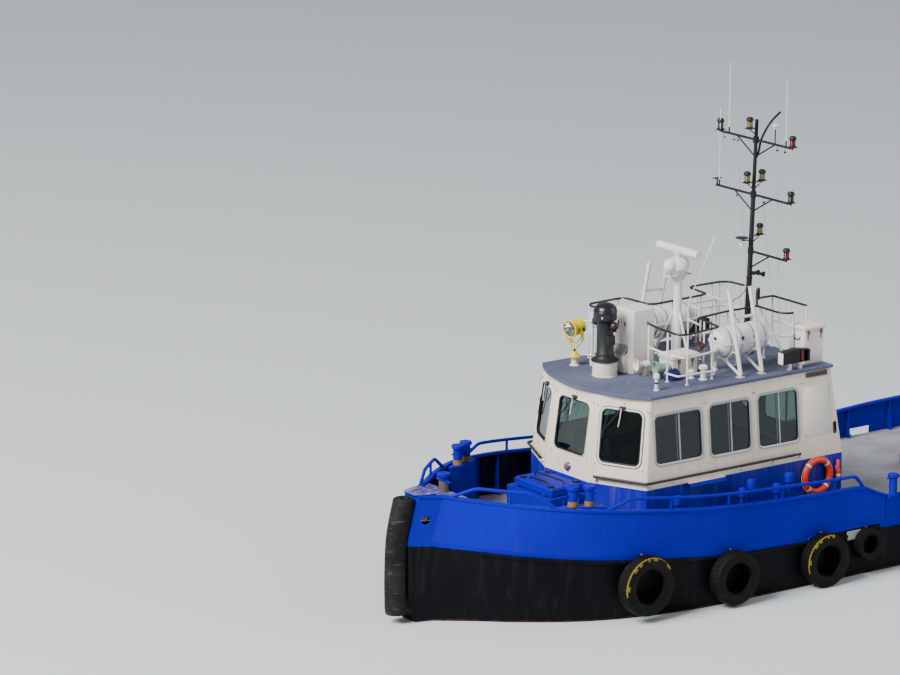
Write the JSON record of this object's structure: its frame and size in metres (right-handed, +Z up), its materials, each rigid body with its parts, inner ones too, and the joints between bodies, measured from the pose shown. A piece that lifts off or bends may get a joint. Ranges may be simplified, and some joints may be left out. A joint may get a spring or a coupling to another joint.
{
  "type": "harbour tugboat",
  "caption": "Small harbour tug afloat: decked steel hull with bulwarks, glazed wheelhouse, mast, radar, tyre fenders, towing hook, rudders and propellers.",
  "frame": {"origin": "on the centreline amidships at the waterline, below the wheelhouse's after part", "axes": "+X to the bow, +Y to port, +Z up"},
  "size_m": [17.0333, 5.933, 11.31],
  "materials": {
    "hull_black_paint": "semi-gloss, weathered",
    "blue_paint": "gloss, weathered",
    "cream_paint": "gloss",
    "white_paint": "gloss",
    "white_grp": "moulded gel coat",
    "deck_grey_paint": "matt, non-slip",
    "yellow_paint": "gloss",
    "lifebuoy_plastic": "moulded",
    "dark_plastic": "moulded",
    "fender_rubber": "worn",
    "tyre_rubber": "worn",
    "bronze": "cast, dull",
    "hook_steel": "worn",
    "window_glass": "clear, faint green"
  },
  "bodies": {
    "vessel": {"hull": "hull_black_paint", "bulwark_bow": "blue_paint", "bulwark_port": "blue_paint", "bulwark_starboard": "blue_paint", "bulwark_stern": "blue_paint", "bow_fender": "fender_rubber", "bow_bitt": "blue_paint", "bitts_forward_port": "blue_paint", "bitts_forward_starboard": "blue_paint", "side_fender_port": "tyre_rubber", "side_fender_starboard": "tyre_rubber", "stern_fender": "fender_rubber", "casing": "blue_paint", "cabin_wall_front": "cream_paint", "cabin_wall_port": "cream_paint", "cabin_wall_starboard": "cream_paint", "cabin_wall_aft": "cream_paint", "glass_front": "window_glass", "glass_port": "window_glass", "glass_starboard": "window_glass", "glass_aft": "window_glass", "roof": "deck_grey_paint", "helm_console": "dark_plastic", "helm_seat": "dark_plastic", "cabin_handrail_port": "dark_plastic", "cabin_handrail_starboard": "dark_plastic", "lifebuoy_port": "lifebuoy_plastic", "lifebuoy_starboard": "lifebuoy_plastic", "hatch_trunk": "blue_paint", "binnacle": "hull_black_paint", "searchlight_post": "white_paint", "searchlight": "yellow_paint", "vent_casing": "white_paint", "deck_locker": "white_paint", "roof_locker": "white_paint", "side_light_port": "hull_black_paint", "side_light_starboard": "hull_black_paint", "liferaft_port": "white_grp", "raft_cradle_port": "white_paint", "liferaft_starboard": "white_grp", "raft_cradle_starboard": "white_paint", "roof_rail_port": "white_paint", "roof_rail_starboard": "white_paint", "mast": "hull_black_paint", "radar_pole": "white_paint", "towing_post": "blue_paint", "towing_bitt": "blue_paint", "engine_hatch_coaming": "blue_paint", "shaft_and_bracket_port": "bronze", "shaft_and_bracket_starboard": "bronze"},
    "port_propeller": {"propeller_port": "bronze"},
    "starboard_propeller": {"propeller_starboard": "bronze"},
    "port_rudder": {"rudder_port": "hull_black_paint"},
    "starboard_rudder": {"rudder_starboard": "hull_black_paint"},
    "radar_aerial": {"radar_scanner": "white_paint"},
    "wheelhouse_door": {"aft_door": "cream_paint"},
    "foredeck_hatch_lid": {"hatch_lid": "blue_paint"},
    "engine_hatch_cover": {"engine_hatch_lid": "deck_grey_paint"},
    "tow_hook": {"towing_hook": "hook_steel"}
  },
  "joints": [
    {"name": "port_propeller_spin", "type": "hinge", "parent": "vessel", "child": "port_propeller", "pos_m": [-6.5, 1.15, -1.15], "axis": [1, 0, 0], "continuous": true},
    {"name": "starboard_propeller_spin", "type": "hinge", "parent": "vessel", "child": "starboard_propeller", "pos_m": [-6.5, -1.15, -1.15], "axis": [1, 0, 0], "continuous": true},
    {"name": "port_rudder_turn", "type": "hinge", "parent": "vessel", "child": "port_rudder", "pos_m": [-7.42, 1.15, -1], "axis": [0, 0, 1], "range_deg": [-35, 35]},
    {"name": "starboard_rudder_turn", "type": "hinge", "parent": "vessel", "child": "starboard_rudder", "pos_m": [-7.42, -1.15, -1], "axis": [0, 0, 1], "range_deg": [-35, 35]},
    {"name": "radar_spin", "type": "hinge", "parent": "vessel", "child": "radar_aerial", "pos_m": [1.87, 0, 6.18], "axis": [0, 0, 1], "continuous": true},
    {"name": "wheelhouse_door_swing", "type": "hinge", "parent": "vessel", "child": "wheelhouse_door", "pos_m": [-0.47, -1.045, 2.4], "axis": [0, 0, 1], "range_deg": [0, 100]},
    {"name": "foredeck_hatch_lift", "type": "hinge", "parent": "vessel", "child": "foredeck_hatch_lid", "pos_m": [4.54, 0, 2.185], "axis": [0, -1, 0], "range_deg": [0, 90]},
    {"name": "engine_hatch_lift", "type": "hinge", "parent": "vessel", "child": "engine_hatch_cover", "pos_m": [-4.275, 0, 1.125], "axis": [0, 1, 0], "range_deg": [0, 95]},
    {"name": "tow_hook_swing", "type": "hinge", "parent": "vessel", "child": "tow_hook", "pos_m": [-1.58, 0, 1.9], "axis": [0, 0, 1], "range_deg": [-60, 60]}
  ],
  "couplings": [
    {"joint": "starboard_rudder_turn", "follows": "port_rudder_turn", "ratio": 1}
  ]
}
